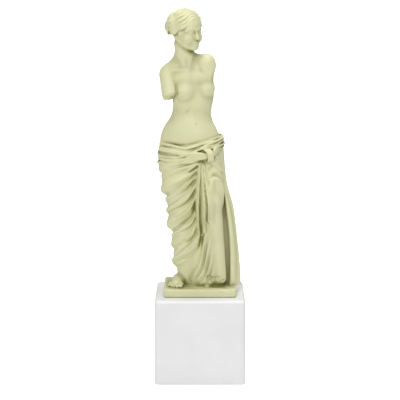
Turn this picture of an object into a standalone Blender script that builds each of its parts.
"""A half-draped classical goddess with lost arms, cast in one with its slab, on a square block.

Metres, +Z up, the figure faces -Y, and the origin is the middle of the block's underside.
The figure is modelled as clay: rounded lumps and strands that run into each other, measured
in parts, of which the body has a hundred from the slab's underside to the crown.
"""

import math

import bmesh
import bpy
import numpy as np

# Driving sizes, in metres
BODY_HEIGHT = 0.2447        # from the slab's top to the crown of the head
SLAB_WIDTH = 0.0645
SLAB_DEPTH = 0.0560
SLAB_THICKNESS = 0.0068
SLAB_CORNER = 0.0030        # the slab's rounded upright corners
SLAB_EDGE = 0.0010          # its softened top and bottom edges
PLINTH_WIDTH = 0.0800
PLINTH_DEPTH = 0.0800
PLINTH_HEIGHT = 0.0760
PLINTH_CORNER = 0.0036      # the block's rounded upright corners
PLINTH_TOP_EDGE = 0.0030    # its rounded top edge
PLINTH_FOOT_EDGE = 0.0010   # its softened bottom edge
SEAT_GAP = 0.0003           # between the block's top and the slab

# The body's own measure, in parts
FOOT_LEVEL = 2.7
CROWN_LEVEL = 100.0
PART = BODY_HEIGHT / (CROWN_LEVEL - FOOT_LEVEL)
SLAB_BOTTOM = FOOT_LEVEL - SLAB_THICKNESS / PART

# How finely the clay is worked, in parts, and how many faces the figure keeps
CLAY_CELL = 0.45
SKIN_CELL = 0.5
FIGURE_TRIANGLES = 9000
FAR = 4.0                   # distances are kept up to this far from the surface
SWELL = 2.6                 # how far past its own outline a lump can swell its neighbours

RESIN_COLOUR = (0.62, 0.63, 0.36, 1.0)
BLOCK_COLOUR = (0.82, 0.82, 0.82, 1.0)


class Clay:
    """A block of clay on a grid: each cell holds its distance to the surface, negative inside."""

    def __init__(self, axes, field=None):
        self.axes = axes
        self.field = np.full([len(axis) for axis in axes], FAR, np.float32) if field is None else field

    @classmethod
    def block(cls, low, high, cell):
        return cls([np.arange(a, b + cell, cell, dtype=np.float32) for a, b in zip(low, high)])

    def window(self, low, high):
        """The cells between two corners, as slices and as their x, y and z."""
        cut = tuple(slice(*np.searchsorted(axis, (a, b))) for axis, a, b in zip(self.axes, low, high))
        return cut, np.meshgrid(*[axis[s] for axis, s in zip(self.axes, cut)], indexing="ij", sparse=True)

    def add(self, cut, shape, soft):
        self.field[cut] = soft_min(self.field[cut], shape, soft)

    def carve(self, cut, shape, soft):
        self.field[cut] = -soft_min(-self.field[cut], shape, soft)


def soft_min(a, b, soft):
    """The nearer of two surfaces, with the corner between them filled over a width of soft."""
    if soft <= 0:
        return np.minimum(a, b)
    near = np.maximum(soft - np.abs(a - b), 0) / soft
    return np.minimum(a, b) - near * near * soft / 4


def turn(yaw=0, pitch=0, roll=0):
    """Yaw turns the front towards +X, pitch tips it down, and roll leans the top towards +X."""
    a, b, c = (math.radians(v) for v in (yaw, pitch, roll))
    about_z = np.array([[math.cos(a), -math.sin(a), 0], [math.sin(a), math.cos(a), 0], [0, 0, 1]])
    about_x = np.array([[1, 0, 0], [0, math.cos(b), -math.sin(b)], [0, math.sin(b), math.cos(b)]])
    about_y = np.array([[math.cos(c), 0, math.sin(c)], [0, 1, 0], [-math.sin(c), 0, math.cos(c)]])
    return about_z @ about_x @ about_y


class Place:
    """A spot and a turn that a region of the body is modelled in, such as the head."""

    def __init__(self, spot=(0, 0, 0), facing=None):
        self.spot = np.array(spot, dtype=float)
        self.facing = np.eye(3) if facing is None else facing

    def out(self, point):
        return self.spot + self.facing @ np.array(point, dtype=float)

    def local(self, grid):
        x, y, z = (g - s for g, s in zip(grid, self.spot))
        return [x * column[0] + y * column[1] + z * column[2] for column in self.facing.T]


BODY = Place()
HIPS = Place((-3.6, 0.4, 54.0), turn(yaw=-4, roll=5))
CHEST = Place((-2.2, 0.3, 72.5), turn(yaw=14, roll=-9))
HEAD = Place((-4.9, -0.7, 92.2), turn(yaw=44, pitch=1, roll=-4))
KNOT = Place((3.2, -7.4, 49.6), turn(yaw=24, roll=-8))


def lump(clay, spot, radii, soft, place=BODY, facing=None, carve=False):
    """An egg-shaped lump run into the clay, or a hollow of that shape."""
    radii = np.broadcast_to(np.array(radii, dtype=float), 3)
    own = Place(place.out(spot), place.facing @ (np.eye(3) if facing is None else facing))
    half = np.sqrt((own.facing ** 2) @ (radii ** 2)) + SWELL
    cut, grid = clay.window(own.spot - half, own.spot + half)
    x, y, z = own.local(grid)
    near = np.sqrt((x / radii[0]) ** 2 + (y / radii[1]) ** 2 + (z / radii[2]) ** 2) + 1e-6
    steep = np.sqrt((x / radii[0] ** 2) ** 2 + (y / radii[1] ** 2) ** 2 + (z / radii[2] ** 2) ** 2) + 1e-6
    shape = near * (near - 1) / steep
    (clay.carve if carve else clay.add)(cut, shape, soft)


def strand_shape(clay, points, thick, soft, margin=0.6):
    """The cells round a run of tapering rods, out to a margin past them, and their distance to it."""
    reach = thick.max() + soft + margin
    cut, _ = clay.window(points.min(axis=0) - reach, points.max(axis=0) + reach)
    run = Clay([axis[s] for axis, s in zip(clay.axes, cut)])
    for start, end, thick_a, thick_b in zip(points[:-1], points[1:], thick[:-1], thick[1:]):
        own_reach = max(thick_a, thick_b) + soft + margin
        own_cut, grid = run.window(np.minimum(start, end) - own_reach, np.maximum(start, end) + own_reach)
        along = end - start
        x, y, z = (g - s for g, s in zip(grid, start))
        t = np.clip((x * along[0] + y * along[1] + z * along[2]) / (along @ along), 0, 1)
        off = np.sqrt((x - t * along[0]) ** 2 + (y - t * along[1]) ** 2 + (z - t * along[2]) ** 2)
        run.field[own_cut] = np.minimum(run.field[own_cut], off - (thick_a + t * (thick_b - thick_a)))
    return cut, run.field


def strand(clay, points, thick, soft, place=BODY, carve=False, margin=0.6):
    """A tapering strand through the points; thick is one radius or one for each point."""
    points = np.array([place.out(point) for point in points])
    thick = np.broadcast_to(np.array(thick, dtype=float), len(points))
    cut, shape = strand_shape(clay, points, thick, soft, margin)
    (clay.carve if carve else clay.add)(cut, shape, soft)


def curve(points, count):
    """Evenly stepped points on a smooth curve through the given ones."""
    points = np.array(points, dtype=float)
    ends = np.vstack([2 * points[0] - points[1], points, 2 * points[-1] - points[-2]])
    spans = len(points) - 1
    run = []
    for t in np.linspace(0, spans, count):
        i = min(int(t), spans - 1)
        u = t - i
        a, b, c, d = ends[i:i + 4]
        run.append(0.5 * (2 * b + (c - a) * u + (2 * a - 5 * b + 4 * c - d) * u ** 2
                          + (3 * b - a - 3 * c + d) * u ** 3))
    return np.array(run)


def spread(values, count):
    """A few values stretched evenly over count places."""
    return np.interp(np.linspace(0, 1, count), np.linspace(0, 1, len(values)), values)


# The bare torso

def model_hips_and_belly(clay):
    lump(clay, (0, 0, -0.6), (10.5, 6.0, 11.0), 0, HIPS)
    lump(clay, (0.1, -1.3, 2.4), (8.2, 4.5, 8.2), 2.4, HIPS)
    lump(clay, (-2.9, 0.2, 64.5), (6.7, 4.3, 8.0), 2.5)
    for side in (-1, 1):
        lump(clay, (4.3 * side, 2.9, -3.0), (4.6, 4.2, 5.2), 1.4, HIPS)
    navel = (2.1, -5.95, 6.6)
    lump(clay, navel, (0.3, 0.7, 0.4), 0.4, HIPS, carve=True)
    middle_line = curve([(-1.6, -5.2, 69.5), (-1.1, -4.9, 65.5), (-0.9, -5.7, 61.8)], 8)
    strand(clay, middle_line, 0.3, 1.4, carve=True)


def model_chest_and_back(clay):
    lump(clay, (-0.4, 0, -2.0), (7.3, 4.5, 7.8), 2.0, CHEST)
    lump(clay, (0, 0.3, 3.8), (7.8, 4.1, 4.8), 2.0, CHEST)
    for side in (-1, 1):
        outward = turn(yaw=12 * side)
        lump(clay, (4.4 * side, 2.2, 1.0), (3.2, 2.4, 5.4), 1.8, CHEST)
        lump(clay, (3.8 * side, 3.2, 3.2), (2.4, 1.4, 3.4), 1.2, CHEST, turn(yaw=-18 * side))
        # breast, fuller below
        lump(clay, (3.9 * side, -2.6, -0.2), (3.0, 2.8, 3.1), 1.5, CHEST, outward)
        lump(clay, (3.95 * side, -3.15, -0.8), (2.4, 2.45, 2.3), 0.9, CHEST, outward)
        rib_arch = curve([(0.6 * side, -5.0, -4.2), (2.6 * side, -4.8, -5.6), (4.8 * side, -3.6, -7.4)], 8)
        strand(clay, rib_arch, -0.8, 1.6, CHEST, carve=True)
        collar_bone = curve([(1.4 * side, -2.7, 7.1), (3.8 * side, -2.2, 7.3), (6.6 * side, -0.9, 7.7)], 8)
        strand(clay, collar_bone, -0.35, 1.8, CHEST)
    spine = curve([(-4.4, 5.2, 78.5), (-3.2, 5.7, 72.0), (-2.5, 4.9, 64.0), (-3.2, 7.0, 56.0)], 12)
    strand(clay, spine, 0.4, 2.2, carve=True)


def model_neck_and_shoulders(clay):
    strand(clay, [(-4.6, 0.8, 77.0), (-5.3, 0.6, 83.0), (-6.0, 0.2, 90.0)], [3.5, 2.75, 2.8], 1.6)
    strand(clay, [(-5.9, 1.3, 86.0), (-7.7, 1.3, 82.2), (-11.0, 0.9, 78.6)], [1.7, 2.1, 2.0], 2.2)
    strand(clay, [(-5.2, 1.3, 86.0), (-2.8, 1.3, 83.0), (2.2, 0.8, 82.2)], [1.7, 1.9, 1.9], 2.2)
    for side in (-1, 1):
        neck_muscle = [(-5.6 + 2.6 * side, 0.5, 88.0), (-4.6 + 0.9 * side, -2.2, 80.6)]
        strand(clay, neck_muscle, [0.6, 0.25], 1.6)
        lump(clay, (-4.5 + 3.9 * side, -0.2, 79.8 + 0.3 * side), (2.6, 1.9, 2.0), 2.2)
    lump(clay, (-11.1, 0.6, 77.4), (3.2, 3.2, 3.3), 1.6)
    lump(clay, (2.5, -0.1, 81.5), (2.7, 2.9, 3.0), 1.6)
    chest_to_shoulder = [(-1.2, -2.2, 76.8), (1.6, -1.9, 76.6), (2.2, -1.0, 78.6)]
    strand(clay, chest_to_shoulder, [1.6, 1.6, 2.0], 2.0)
    lump(clay, (2.2, 0.6, 75.6), (1.9, 2.6, 3.2), 1.6)


def arm_stump(clay, points, thick, break_spot, break_normal, soft):
    """What is left of a lost arm: a limb that ends in a rough break."""
    normal = np.array(break_normal) / np.linalg.norm(break_normal)
    cut, limb = strand_shape(clay, np.array(points, dtype=float), np.array(thick), soft)
    x, y, z = np.meshgrid(*[axis[s] - at for axis, s, at in zip(clay.axes, cut, break_spot)],
                          indexing="ij", sparse=True)
    rough = 0.18 * np.sin(1.9 * x + 0.7) * np.sin(2.3 * y + 1.1)
    beyond_break = x * normal[0] + y * normal[1] + z * normal[2] + rough
    clay.add(cut, -soft_min(-limb, -beyond_break, 0.35), soft)


def model_arm_stumps(clay):
    arm_stump(clay, [(-11.2, 0.0, 77.0), (-10.5, -2.0, 72.0), (-9.0, -4.2, 65.0)], [3.0, 3.05, 2.95],
              (-9.7, -3.0, 70.0), (0.3, -0.4, -1.0), 0.3)
    arm_stump(clay, [(2.4, -0.1, 80.6), (5.0, -0.4, 75.4)], [2.7, 2.6],
              (4.3, -0.4, 77.8), (1.0, 0.15, -0.45), 1.5)


# The head, in its own measure: the eyes are at height 0, the chin at -7 and the crown near 8

def model_face(clay):
    lump(clay, (0, 0.5, 1.8), (4.7, 5.7, 5.2), 0.6, HEAD)
    lump(clay, (0, -1.6, -1.3), (4.0, 3.6, 4.6), 1.0, HEAD)
    lump(clay, (0, -2.5, 2.1), (3.6, 2.9, 3.3), 1.0, HEAD)
    lump(clay, (0, -4.15, -5.15), (1.15, 0.95, 0.95), 1.0, HEAD)
    lump(clay, (0, -4.2, -3.7), (1.8, 1.15, 1.4), 1.0, HEAD)
    for side in (-1, 1):
        jaw = [(3.3 * side, 0.6, -2.1), (2.3 * side, -1.9, -4.1), (0.7 * side, -3.7, -5.2)]
        strand(clay, jaw, [0.9, 0.85, 0.8], 1.2, HEAD)
        lump(clay, (2.3 * side, -3.3, -1.9), (1.7, 1.5, 1.8), 1.2, HEAD)
        brow = curve([(0.5 * side, -5.25, 0.85), (1.9 * side, -5.0, 1.25), (3.5 * side, -3.7, 0.7)], 8)
        strand(clay, brow, 0.3, 0.8, HEAD)
        lump(clay, (1.8 * side, -6.0, -0.1), (1.25, 1.05, 0.75), 0.6, HEAD, carve=True)
        lump(clay, (1.8 * side, -4.15, -0.1), (1.1, 0.9, 0.7), 0.1, HEAD)
        inner_corner = (0.8 * side, -5.2, 0.0)
        lump(clay, inner_corner, (0.35, 0.6, 0.35), 0.3, HEAD, carve=True)
        for height, thick in ((0.52, 0.22), (-0.54, 0.14)):
            corners = (0.8 * side, -4.9, -0.05), (2.85 * side, -4.4, -0.1)
            lid = curve([corners[0], (1.75 * side, -5.0, height), corners[1]], 7)
            strand(clay, lid, thick, 0.08, HEAD)
        lump(clay, (4.3 * side, 0.9, -1.2), (0.5, 0.75, 0.9), 0.4, HEAD)
    strand(clay, [(0, -5.1, 1.1), (0, -5.5, -0.6), (0, -6.0, -2.05)], [0.38, 0.36, 0.48], 0.45, HEAD)
    lump(clay, (0, -5.0, -1.6), (0.8, 0.85, 1.2), 0.6, HEAD)
    for side in (-1, 1):
        lump(clay, (0.52 * side, -5.5, -2.25), (0.36, 0.5, 0.32), 0.3, HEAD)
        upper_lip = curve([(0, -5.36, -3.4), (0.5 * side, -5.32, -3.32), (1.35 * side, -4.8, -3.6)], 6)
        strand(clay, upper_lip, spread((0.34, 0.36, 0.28, 0.1), 6), 0.22, HEAD)
        lower_lip = curve([(0, -5.24, -4.14), (0.6 * side, -5.12, -4.06), (1.25 * side, -4.8, -3.74)], 6)
        strand(clay, lower_lip, spread((0.42, 0.38, 0.28, 0.1), 6), 0.22, HEAD)
    mouth = curve([(-1.15, -5.2, -3.64), (-0.5, -5.55, -3.68), (0, -5.62, -3.76), (0.5, -5.55, -3.68),
                   (1.15, -5.2, -3.64)], 10)
    strand(clay, mouth, 0.1, 0.2, HEAD, carve=True)


HAIR_MIDDLE = np.array((0, 1.2, 2.5))
HAIR_RADII = np.array((5.7, 5.8, 5.1))


def wavy_lock(side, row, lift):
    """The path of a lock from the parting, over the ear, to the knot at the back; row runs 0 to 1."""
    parting = np.array((0.05, -0.92 + 1.5 * row, 0.34 + 0.86 * math.sin(math.pi * (0.02 + 0.62 * row))))
    over_ear = 1.35 * np.array((1.0, -0.30 + 0.72 * row, -0.44 + 1.2 * row))
    nape = np.array((0.25, 1.0, -0.62 + 1.15 * row))
    path = []
    for t in np.linspace(0, 1, 20):
        way = (1 - t) ** 2 * parting + 2 * t * (1 - t) * over_ear + t * t * nape
        way = way / np.linalg.norm(way)
        phase = 21 * t + 8.5 * row
        wave = 0.05 * math.sin(phase) * math.sin(math.pi * min(1, 1.3 * t))
        puff = 1 + lift + 0.03 * math.sin(phase + 1.4)
        spot = (way + np.array((0, 0.6 * wave, wave))) * HAIR_RADII * puff + HAIR_MIDDLE
        path.append((side * spot[0], spot[1], spot[2]))
    return path


def model_hair(clay, rows=9, lock_fill=0.56):
    """Locks as thick as the room between them, so that the grooves show all along."""
    lump(clay, (0, 1.2, 2.55), (5.5, 5.6, 4.95), 0.3, HEAD)
    for side in (-1, 1):
        locks = [np.array(wavy_lock(side, row, lift=0.01 * (-1) ** i))
                 for i, row in enumerate(np.linspace(0, 1, rows))]
        for lock, next_lock in zip(locks, locks[1:] + locks[-2:-1]):
            room = np.clip(np.linalg.norm(lock - next_lock, axis=1), 0.5, 1.2)
            strand(clay, lock, lock_fill * room, 0.08, HEAD)
    band = [(5.85 * math.sin(a), 2.7 - 2.1 * math.cos(a), 2.6 + 5.3 * math.cos(a))
            for a in np.linspace(-2.2, 2.2, 30)]
    strand(clay, band, 0.36, 0.1, HEAD)


def model_hair_knot(clay, coils=8):
    lump(clay, (0, 6.8, 1.8), (2.6, 2.1, 2.5), 0.2, HEAD)
    for start in np.arange(coils) * math.tau / coils:
        coil = []
        for t in np.linspace(0, 1, 10):
            out = 1 - 0.85 * t
            angle = start + 2.6 * t
            coil.append((2.7 * math.cos(angle) * out, 6.8 + 2.35 * math.sin(math.pi * (0.05 + 0.45 * t)),
                         1.8 + 2.6 * math.sin(angle) * out))
        strand(clay, coil, 0.5, 0.1, HEAD)


# The mantle. Its folds are drawn on the cloth unrolled round the legs, by the angle from the
# front in degrees, towards the figure's left (+X), and by the height in parts.

ARC = math.radians(1) * 10.5     # a degree's width on the unrolled cloth, in parts


class Cloth:
    """The unrolled cloth, with how far it stands out at each angle and height."""

    def __init__(self, step):
        self.degrees = np.arange(-180, 180 + 5 * step, 5 * step)
        self.heights = np.arange(0, 62, step)
        self.relief = np.zeros((len(self.degrees), len(self.heights)), np.float32)
        self.furrows = np.zeros_like(self.relief)

    def stroke(self, points, width, height, ends, lean):
        """For each part of the cloth near a path: how far off it is, in widths, and the height there."""
        count = 30
        path = curve(points, count)
        t = np.linspace(0, 1, count)
        grow = np.ones(count)
        for end, run in zip(ends, (t, 1 - t)):
            if end > 0:
                grow *= np.clip(run / end, 0, 1) ** 0.7
        width = spread(width, count) * (0.45 + 0.55 * grow)
        height = spread(height, count) * grow
        across, up = path[:, 0] * ARC, path[:, 1]
        reach = width.max() * (1.7 + abs(lean))
        for turned in (-360 * ARC, 0, 360 * ARC):
            low, high = across.min() + turned - reach, across.max() + turned + reach
            i = slice(*np.searchsorted(self.degrees * ARC, (low, high)))
            j = slice(*np.searchsorted(self.heights, (up.min() - reach, up.max() + reach)))
            if i.stop <= i.start or j.stop <= j.start:
                continue
            spots = (self.degrees[i] * ARC - turned)[:, None], self.heights[j][None, :]
            off = np.full((i.stop - i.start, j.stop - j.start), 1e9)
            crest = np.zeros_like(off)
            for k in range(count - 1):
                step = across[k + 1] - across[k], up[k + 1] - up[k]
                x, z = spots[0] - across[k], spots[1] - up[k]
                t_near = np.clip((x * step[0] + z * step[1]) / (step[0] ** 2 + step[1] ** 2 + 1e-9), 0, 1)
                x, z = x - t_near * step[0], z - t_near * step[1]
                side = np.sign(step[0] * z - step[1] * x)
                wide = (width[k] + t_near * (width[k + 1] - width[k])) * (1 + lean * side)
                near = np.hypot(x, z) / wide
                crest = np.where(near < off, height[k] + t_near * (height[k + 1] - height[k]), crest)
                off = np.minimum(off, near)
            yield (i, j), off, crest

    def fold(self, points, width, height, ends=(0.25, 0.25), lean=0.0, crest_round=0.3, sag=1.5):
        """A fold along a path: a rounded crest whose flanks sag, steeper on one side by its lean."""
        for cut, off, crest in self.stroke(points, width, height, ends, lean):
            down = (np.hypot(off, crest_round) - crest_round) / (math.hypot(1, crest_round) - crest_round)
            self.relief[cut] = np.maximum(self.relief[cut], crest * np.maximum(1 - down, 0) ** sag)

    def crease(self, points, width, depth, ends=(0.3, 0.3)):
        """A narrow furrow along a path."""
        for cut, off, crest in self.stroke(points, (width,), (depth,), ends, 0.0):
            self.furrows[cut] += crest * np.maximum(1 - off ** 2, 0) ** 1.5

    def settle(self):
        """Cuts the furrows into the folds and evens out each spot with its neighbours."""
        self.relief -= self.furrows
        for axis in (0, 1):
            before, after = np.roll(self.relief, 1, axis), np.roll(self.relief, -1, axis)
            self.relief = 0.5 * self.relief + 0.25 * (before + after)

    def stands_out(self, degrees, heights):
        """How far the cloth stands out at these angles and heights, between the drawn spots."""
        i, j = (np.clip((at - marks[0]) / (marks[1] - marks[0]), 0, len(marks) - 1.001)
                for at, marks in ((degrees, self.degrees), (heights, self.heights)))
        i0, j0 = i.astype(int), j.astype(int)
        u, v = i - i0, j - j0
        h = self.relief
        return ((1 - u) * ((1 - v) * h[i0, j0] + v * h[i0, j0 + 1])
                + u * ((1 - v) * h[i0 + 1, j0] + v * h[i0 + 1, j0 + 1]))


def draw_swags(cloth):
    """Long folds that fan out from the knot, over the standing leg and round to the back."""
    # height at the side, in front and at the knot, and how far the fold stands out
    swags = ((44.6, 47.2, 48.5, 1.2), (41.0, 44.6, 47.5, 0.8), (36.2, 41.0, 46.0, 2.0),
             (32.6, 38.5, 44.5, 0.9), (28.6, 34.2, 43.0, 1.5), (23.4, 30.2, 41.5, 2.2),
             (19.6, 26.0, 39.0, 0.9), (16.4, 22.6, 36.0, 1.5), (10.2, 17.6, 33.0, 1.9))
    for i, (side, front, knot, high) in enumerate(swags):
        path = [(-158, side + 9), (-122, side + 3.2), (-90, side), (-62, 0.62 * side + 0.38 * front),
                (-38 + 2 * i, front), (-14 + 2 * i, 0.5 * front + 0.5 * knot), (15 + 0.5 * i, knot)]
        wide = 1.6 + 0.9 * high
        cloth.fold(path, np.array((0.6, 0.9, 1.0, 1.0, 0.85, 0.6, 0.35)) * wide,
                   np.array((0.25, 0.6, 0.75, 1.0, 1.05, 0.8, 0.4)) * high, ends=(0.15, 0.05), lean=0.35,
                   crest_round=0.22)
    for side, front in ((39.4, 43.4), (27.0, 33.4), (22.2, 28.8), (14.0, 21.0), (9.0, 14.6)):
        cloth.fold([(-96, side), (-64, side + 1.4), (-34, front)], (1.2, 1.6, 0.9), (0.5, 0.9, 0.4),
                   ends=(0.3, 0.4), lean=0.3, crest_round=0.2)
    for side, front in ((34.6, 39.4), (30.8, 36.2), (21.4, 28.0), (12.6, 19.6)):
        between = [(-112, side + 1.4), (-84, side), (-58, 0.7 * side + 0.3 * front), (-32, front)]
        cloth.crease(between, 0.7, 0.5)


def draw_shin_folds(cloth):
    """Long folds that run from the bent knee down to the standing foot."""
    for i in range(4):
        path = [(14 + 3 * i, 34 - 6.5 * i), (9 + 3 * i, 23 - 5.0 * i), (-12 + 8 * i, 11.5 - 2.6 * i),
                (-46 + 15 * i, 4.4 - 0.7 * i)]
        cloth.fold(path, (1.4, 2.4, 2.8, 2.2), np.array((0.6, 1.5, 1.9, 1.2)) * (1 - 0.12 * i),
                   ends=(0.15, 0.15), lean=0.3)
    cloth.crease([(10, 30), (1, 20), (-22, 10.0), (-52, 4.0)], 0.5, 0.4)


def draw_hanging_end(cloth):
    """The mantle's free end, which falls from the knot beside the bent knee, folded to and fro."""
    for i, lower_end in enumerate((23.0, 20.4, 24.2, 21.6, 26.0)):
        path = [(8 + 2.6 * i, 48), (1 + 3.6 * i, 40), (-7 + 5.2 * i, 32), (-13 + 6.4 * i, lower_end)]
        cloth.fold(path, (0.9, 1.5, 2.0, 2.3), (1.5, 2.3, 2.7, 2.9) if i % 2 else (1.2, 1.8, 2.1, 2.2),
                   ends=(0.04, 0.05), lean=0.45 * (-1) ** i, sag=1.3, crest_round=0.22)


def draw_knee(cloth):
    """The bent knee, smooth under drawn cloth, with the folds that arch over it."""
    for i in range(3):
        top = 50.4 - 3.1 * i
        path = [(18 + i, top - 6.5), (26, top - 2.0), (38, top), (54, top - 2.4), (68, top - 8)]
        cloth.fold(path, (1.2, 2.2, 2.6, 2.2, 1.2), (0.4, 1.0, 1.3, 1.0, 0.4), ends=(0.2, 0.3), lean=0.3)
    cloth.fold([(18, 29), (19, 36), (28, 41.0), (41, 41.4), (52, 38.6), (58, 33), (60, 25)],
               (1.2, 2.0, 2.4, 2.4, 2.2, 2.0, 1.4), (0.4, 1.1, 1.4, 1.5, 1.4, 1.0, 0.3), ends=(0.2, 0.3),
               lean=-0.3)
    cloth.crease([(60, 38), (63, 29), (64, 18), (64, 1)], 2.2, 3.8, ends=(0.4, 0.0))


def draw_upright_folds(cloth):
    """Deep folds that fall to the ground outside the bent leg and round the back."""
    for i in range(12):
        degrees = 82 + 15 * i + 3 * math.sin(1.9 * i)
        strong = 1 + 0.3 * math.sin(2.6 * i + 1)
        path = [(degrees - 5, 47 + 2 * math.sin(1.7 * i)), (degrees - 1, 31),
                (degrees + 2 * math.sin(2.3 * i), 16), (degrees + 2, 0)]
        cloth.fold(path, (1.6, 2.2, 2.9, 3.4), np.array((0.4, 1.5, 2.3, 2.6)) * strong, ends=(0.3, 0.0),
                   lean=0.35 * math.sin(2.7 * i), crest_round=0.25)
    for i in range(8):
        degrees = 76 + 23 * i
        cloth.crease([(degrees, 34 - 3 * (i % 3)), (degrees + 1, 18), (degrees + 2, 4)], 0.6, 0.5,
                     ends=(0.4, 0.2))


# The mantle's outline by height, before its folds: left, right, front and back of the legs
SKIRT_LEVELS = (1.0, 8.0, 16.0, 30.0, 42.0, 51.0, 58.0)
SKIRT_LEFT = (-6.8, -5.8, -7.0, -10.2, -12.8, -13.4, -12.0)
SKIRT_RIGHT = (11.4, 11.4, 11.0, 10.3, 8.9, 8.4, 7.0)
SKIRT_FRONT = (-5.6, -5.2, -5.0, -5.0, -5.2, -5.2, -4.6)
SKIRT_BACK = (6.6, 6.4, 6.2, 6.0, 6.4, 6.8, 6.0)
SKIRT_TOP = 51.7            # hidden under the wrap, in the middle
SKIRT_TOP_TILT = 0.2        # its rise towards the bent leg's side, as the wrap rises
SKIRT_SQUARENESS = 2.3


def smooth_profile(z, values):
    """An outline's value at a height, on a smooth curve through its levels."""
    levels = np.array(SKIRT_LEVELS)
    values = np.array(values)
    slopes = np.gradient(values, levels)
    z = np.clip(z, levels[0], levels[-1])
    k = np.clip(np.searchsorted(levels, z, side="right") - 1, 0, len(levels) - 2)
    span = levels[k + 1] - levels[k]
    t = (z - levels[k]) / span
    return ((2 * t ** 3 - 3 * t ** 2 + 1) * values[k] + (t ** 3 - 2 * t ** 2 + t) * span * slopes[k]
            + (3 * t ** 2 - 2 * t ** 3) * values[k + 1] + (t ** 3 - t ** 2) * span * slopes[k + 1])


def model_skirt(clay, cloth_step):
    """The cloth from the hips to the ground, with the legs showing through it."""
    cut, (x, y, z) = clay.window((-18, -14, SLAB_BOTTOM - 2), (18, 14, 60))
    left, right, front, back = (smooth_profile(z, values)
                                for values in (SKIRT_LEFT, SKIRT_RIGHT, SKIRT_FRONT, SKIRT_BACK))
    middle_x, middle_y = (left + right) / 2, (front + back) / 2
    half_x, half_y = (right - left) / 2, (back - front) / 2
    across, along = np.abs(x - middle_x) / half_x + 1e-3, np.abs(y - middle_y) / half_y + 1e-3
    ring = (across ** SKIRT_SQUARENESS + along ** SKIRT_SQUARENESS) ** (1 / SKIRT_SQUARENESS)
    steep = np.hypot((across / ring) ** (SKIRT_SQUARENESS - 1) / half_x,
                     (along / ring) ** (SKIRT_SQUARENESS - 1) / half_y)
    shell = np.maximum((ring - 1) / steep, z - SKIRT_TOP - SKIRT_TOP_TILT * x)
    skirt = Clay([axis[s] for axis, s in zip(clay.axes, cut)], shell.astype(np.float32))
    standing_leg = [(-7.6, -0.2, 48.0), (-7.4, -1.6, 40.0), (-6.6, -2.0, 29.0), (-5.7, -1.2, 20.0),
                    (-5.0, -1.0, 6.0)]
    thigh = [(1.4, -0.6, 47.0), (2.9, -3.4, 40.0), (3.8, -5.9, 33.0)]
    shin = [(3.8, -5.9, 33.0), (5.2, -4.4, 20.0), (6.8, -4.0, 6.0)]
    # the folds stand out past the legs, so the legs' distances reach as far
    strand(skirt, standing_leg, [5.6, 5.2, 3.9, 3.7, 3.0], 2.0, margin=FAR)
    strand(skirt, thigh, [5.6, 4.8, 3.9], 1.6, margin=FAR)
    strand(skirt, shin, [3.7, 3.5, 3.0], 1.6, margin=FAR)
    cloth = Cloth(cloth_step)
    for draw in (draw_swags, draw_shin_folds, draw_knee, draw_hanging_end, draw_upright_folds):
        draw(cloth)
    cloth.settle()
    degrees = np.degrees(np.arctan2(x - 0.6 * middle_x, middle_y - y + 0 * z))
    skirt.field -= cloth.stands_out(degrees, z + 0 * degrees).astype(np.float32)
    # a fold that stands forward, across a deep valley from the bent leg
    for back in (0, 1.4, 2.8):
        outer_fold = curve([(6.8, -3.4 + back, 42.0), (9.7, -4.4 + back, 31.0), (11.4, -4.8 + back, 17.0),
                            (11.5, -4.5 + back, 1.0)], 14)
        strand(skirt, outer_fold, spread((0.4, 0.8, 1.0, 1.2), 14), 0.8)
    hem = FOOT_LEVEL - 0.4 - z
    clay.add(cut, np.maximum(skirt.field, hem), 0.2)


def model_hip_wrap(clay, pleats=10):
    """The mantle's gathered top, wound round the hips in pleats that close up on the bent leg's side."""
    around = np.linspace(0, math.tau, 73)
    middle_z = 50.7 - 1.4 * np.cos(around) + 2.75 * np.sin(around) - 0.3 * np.cos(2 * around)
    tall = 6.6 - 2.3 * np.sin(around) + 1.1 * np.cos(around)
    out = 1 / np.hypot(np.sin(around) / 10.6, np.cos(around) / 7.1)

    def wind(reach, level, thick, soft):
        path = np.stack([reach * np.sin(around) - 3.1, 0.4 - reach * np.cos(around), level], axis=1)
        strand(clay, path, thick, soft)

    for share in (-0.36, -0.12, 0.12, 0.36):
        wind(out - 0.2, middle_z + tall * share, 0.16 * tall, 0.8)
    for pleat in range(pleats):
        share = pleat / (pleats - 1) - 0.5
        drift = 0.045 * np.sin(2 * around + 2.4 * pleat) + 0.035 * np.sin(3 * around + 4.1 * pleat)
        bulge = (0.75 * math.cos(math.pi * share * 0.9) + 0.14 * (-1) ** pleat
                 + 0.28 * np.sin(3 * around + 1.7 * pleat))
        wind(out + bulge, middle_z + tall * (share + drift), 0.56 * tall / pleats + 0.12, 0.15)


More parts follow.
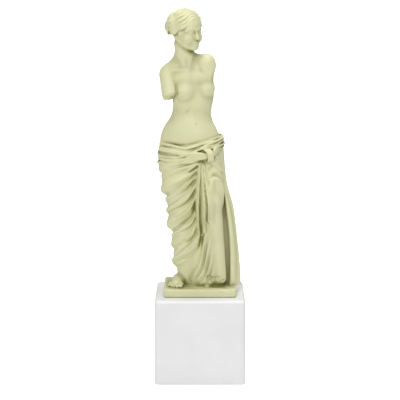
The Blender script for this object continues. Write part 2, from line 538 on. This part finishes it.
def model_knot(clay):
    """The mantle's two edges tied in front of the hips, with a short free corner."""
    lump(clay, (0, 0.6, 0), (2.0, 1.3, 1.7), 0.3, KNOT)
    for t in (-1, 0, 1):
        middle = -0.3, 0.35 * t
        from_the_left = [(-8.6, 4.8, 0.8 + 1.1 * t), (-4.0, 0.8, 0.5 + 0.85 * t), (-0.8, *middle)]
        strand(clay, curve(from_the_left, 8), spread((0.3, 0.75, 0.8, 0.5), 8), 0.3, KNOT)
        from_the_right = [(6.4, 4.2, 2.6 + 0.9 * t), (3.2, 1.0, 1.2 + 0.7 * t), (0.8, *middle)]
        strand(clay, curve(from_the_right, 8), spread((0.3, 0.7, 0.75, 0.5), 8), 0.3, KNOT)
        over = curve([(-0.3 + 0.75 * t, 0.8, 2.1), (0.05 + 0.72 * t, -0.9, 1.2), (0.05 + 0.7 * t, -1.25, 0.0),
                      (0.1 + 0.72 * t, -0.9, -1.2), (0.3 + 0.9 * t, 0.3, -2.2)], 10)
        strand(clay, over, 0.5, 0.16, KNOT)
    for t in (-1.5, -0.5, 0.5, 1.5):
        corner = [(0.6, 0.2, -1.6), (1.9 + 0.35 * t, 0.3, -3.6), (2.9 + 0.85 * t, 0.9, -7.0 + 0.5 * abs(t))]
        strand(clay, curve(corner, 9), np.linspace(0.45, 0.72, 9), 0.16, KNOT)


# The feet and the slab they stand on

def model_foot(clay, heel, yaw, big_toe):
    """A bare foot whose front shows under the hem; big_toe is the side that it is on."""
    foot = Place(heel, turn(yaw=yaw))
    strand(clay, [(0, 0, 1.6), (0.1, -3.8, 0.9)], [2.3, 1.7], 0.6, foot)
    for toe in range(5):
        across = (toe - 2) * 0.95
        inner = 2 - big_toe * (toe - 2)
        length = 0.45 * abs(inner - 1)
        thick = 0.76 if inner == 0 else 0.52
        strand(clay, [(across, -3.6, 0.9), (1.15 * across, -7.1 + length, thick)], [0.8, thick], 0.05, foot)


def model_broken_hem(clay, chips=20):
    """The hem is chipped away where the bent leg's foot is lost."""
    for chip in range(chips):
        x = 2.4 + 0.42 * chip
        y = -8.2 + 0.05 * (x - 6.0) ** 2 + 0.25 * math.sin(4.1 * chip)
        z = FOOT_LEVEL + 0.8 + 2.8 * math.sin(2.3 * chip) ** 2
        lump(clay, (x, y, z), (1.1, 1.6 + 0.2 * math.sin(3.7 * chip), 1.0), 0.12, carve=True)


def model_slab(clay):
    half = np.array((SLAB_WIDTH, SLAB_DEPTH)) / PART / 2
    corner, edge = SLAB_CORNER / PART, SLAB_EDGE / PART
    low, high = (-half[0] - 3, -half[1] - 3, SLAB_BOTTOM - 2), (half[0] + 3, half[1] + 3, FOOT_LEVEL + 3)
    cut, (x, y, z) = clay.window(low, high)
    side_x, side_y = np.abs(x) - half[0] + corner, np.abs(y) - half[1] + corner
    outline = (np.hypot(np.maximum(side_x, 0), np.maximum(side_y, 0))
               + np.minimum(np.maximum(side_x, side_y), 0) - corner)
    middle, half_z = (FOOT_LEVEL + SLAB_BOTTOM) / 2, (FOOT_LEVEL - SLAB_BOTTOM) / 2
    side, level = outline + edge, np.abs(z - middle) - half_z + edge
    rounded = np.hypot(np.maximum(side, 0), np.maximum(level, 0))
    shape = rounded + np.minimum(np.maximum(side, level), 0) - edge
    clay.add(cut, shape, 0.3)


def model_figure(cell):
    clay = Clay.block((-17, -14, SLAB_BOTTOM - 1.5), (17, 13, CROWN_LEVEL + 2), cell)
    model_hips_and_belly(clay)
    model_chest_and_back(clay)
    model_neck_and_shoulders(clay)
    model_arm_stumps(clay)
    model_skirt(clay, cloth_step=max(0.1, 0.6 * cell))
    model_hip_wrap(clay)
    model_knot(clay)
    model_face(clay)
    model_hair(clay)
    model_hair_knot(clay)
    model_foot(clay, (-7.7, -1.6, FOOT_LEVEL), yaw=-12, big_toe=1)
    model_broken_hem(clay)
    model_slab(clay)
    below_slab = SLAB_BOTTOM - clay.axes[2]
    clay.field = np.maximum(clay.field, below_slab[None, None, :])
    return clay


def skin(clay):
    """The clay's surface, as points and four-sided faces that point outwards."""
    field = clay.field
    inside = field < 0
    corners = [(i, j, k) for i in (0, 1) for j in (0, 1) for k in (0, 1)]
    cells = tuple(n - 1 for n in field.shape)
    full = np.zeros(cells, np.int8)
    for corner in corners:
        full += inside[tuple(slice(c, c + n) for c, n in zip(corner, cells))]
    crossed = np.argwhere((full > 0) & (full < 8))
    number = np.full(cells, -1, np.int32)
    number[tuple(crossed.T)] = np.arange(len(crossed))
    total, hits = np.zeros((len(crossed), 3)), np.zeros(len(crossed))
    for axis, step in enumerate(np.eye(3, dtype=int)):
        for corner in (corner for corner in corners if not corner[axis]):
            a = field[tuple((crossed + corner).T)]
            b = field[tuple((crossed + corner + step).T)]
            cuts = (a < 0) != (b < 0)
            along = np.where(cuts, a / np.where(cuts, a - b, 1), 0)
            total += np.where(cuts[:, None], corner + along[:, None] * step, 0)
            hits += cuts
    low = np.array([axis[0] for axis in clay.axes])
    cell = clay.axes[0][1] - clay.axes[0][0]
    points = low + cell * (crossed + total / hits[:, None])
    faces = []
    for axis in range(3):
        order = [axis] + [other for other in range(3) if other != axis]
        solid, numbers = inside.transpose(order), number.transpose(order)
        before, after = solid[:-1, 1:-1, 1:-1], solid[1:, 1:-1, 1:-1]
        edges = np.argwhere(before != after)
        leaving = before[tuple(edges.T)] != (axis == 1)
        quads = np.stack([numbers[edges[:, 0], edges[:, 1] + i, edges[:, 2] + j]
                          for i, j in ((0, 0), (1, 0), (1, 1), (0, 1))], axis=1)
        faces.append(np.where(leaving[:, None], quads, quads[:, ::-1]))
    return points, np.vstack(faces)


# The two pieces

def finish(name, colour, roughness):
    material = bpy.data.materials.new(name)
    material.use_nodes = True
    shader = material.node_tree.nodes["Principled BSDF"]
    shader.inputs["Base Color"].default_value = colour
    shader.inputs["Roughness"].default_value = roughness
    shader.inputs["Metallic"].default_value = 0.0
    return material


def new_piece(name, mesh, material):
    mesh.materials.append(material)
    piece = bpy.data.objects.new(name, mesh)
    bpy.context.collection.objects.link(piece)
    return piece


def make_figure(material):
    """The figure and its slab in one, skinned from the clay and eased to few faces."""
    points, faces = skin(model_figure(CLAY_CELL))
    mesh = bpy.data.meshes.new("figure")
    mesh.from_pydata(((points - (0, 0, SLAB_BOTTOM)) * PART).tolist(), [], faces.tolist())
    figure = new_piece("figure", mesh, material)
    figure.location = (0, 0, PLINTH_HEIGHT + SEAT_GAP)
    closed = figure.modifiers.new("closed skin", "REMESH")
    closed.mode = "VOXEL"
    closed.voxel_size = SKIN_CELL * PART
    skinned = figure.evaluated_get(bpy.context.evaluated_depsgraph_get())
    few_faces = figure.modifiers.new("few faces", "DECIMATE")
    few_faces.ratio = FIGURE_TRIANGLES / (2 * len(skinned.data.polygons))
    return figure


def make_plinth(material):
    """A square block with rounded corners and top edge, and a softened foot."""
    mesh = bpy.data.meshes.new("plinth")
    block = bmesh.new()
    bmesh.ops.create_cube(block, size=1)
    bmesh.ops.scale(block, vec=(PLINTH_WIDTH, PLINTH_DEPTH, PLINTH_HEIGHT), verts=block.verts)
    bmesh.ops.translate(block, vec=(0, 0, PLINTH_HEIGHT / 2), verts=block.verts)

    def round_off(edges, radius, segments):
        bmesh.ops.bevel(block, geom=edges, offset=radius, segments=segments, profile=0.5, affect="EDGES",
                        clamp_overlap=True)

    def edges_at(level):
        return [edge for edge in block.edges if all(abs(v.co.z - level) < 1e-6 for v in edge.verts)]

    uprights = [edge for edge in block.edges if edge.verts[0].co.z != edge.verts[1].co.z]
    round_off(uprights, PLINTH_CORNER, 6)
    round_off(edges_at(PLINTH_HEIGHT), PLINTH_TOP_EDGE, 5)
    round_off(edges_at(0), PLINTH_FOOT_EDGE, 2)
    block.to_mesh(mesh)
    block.free()
    mesh.shade_smooth()
    mesh.set_sharp_from_angle(angle=math.radians(30))
    return new_piece("plinth", mesh, material)


def main():
    for piece in list(bpy.data.objects):
        bpy.data.objects.remove(piece)
    make_plinth(finish("white block", BLOCK_COLOUR, 0.45))
    make_figure(finish("pale green resin", RESIN_COLOUR, 0.55))


main()
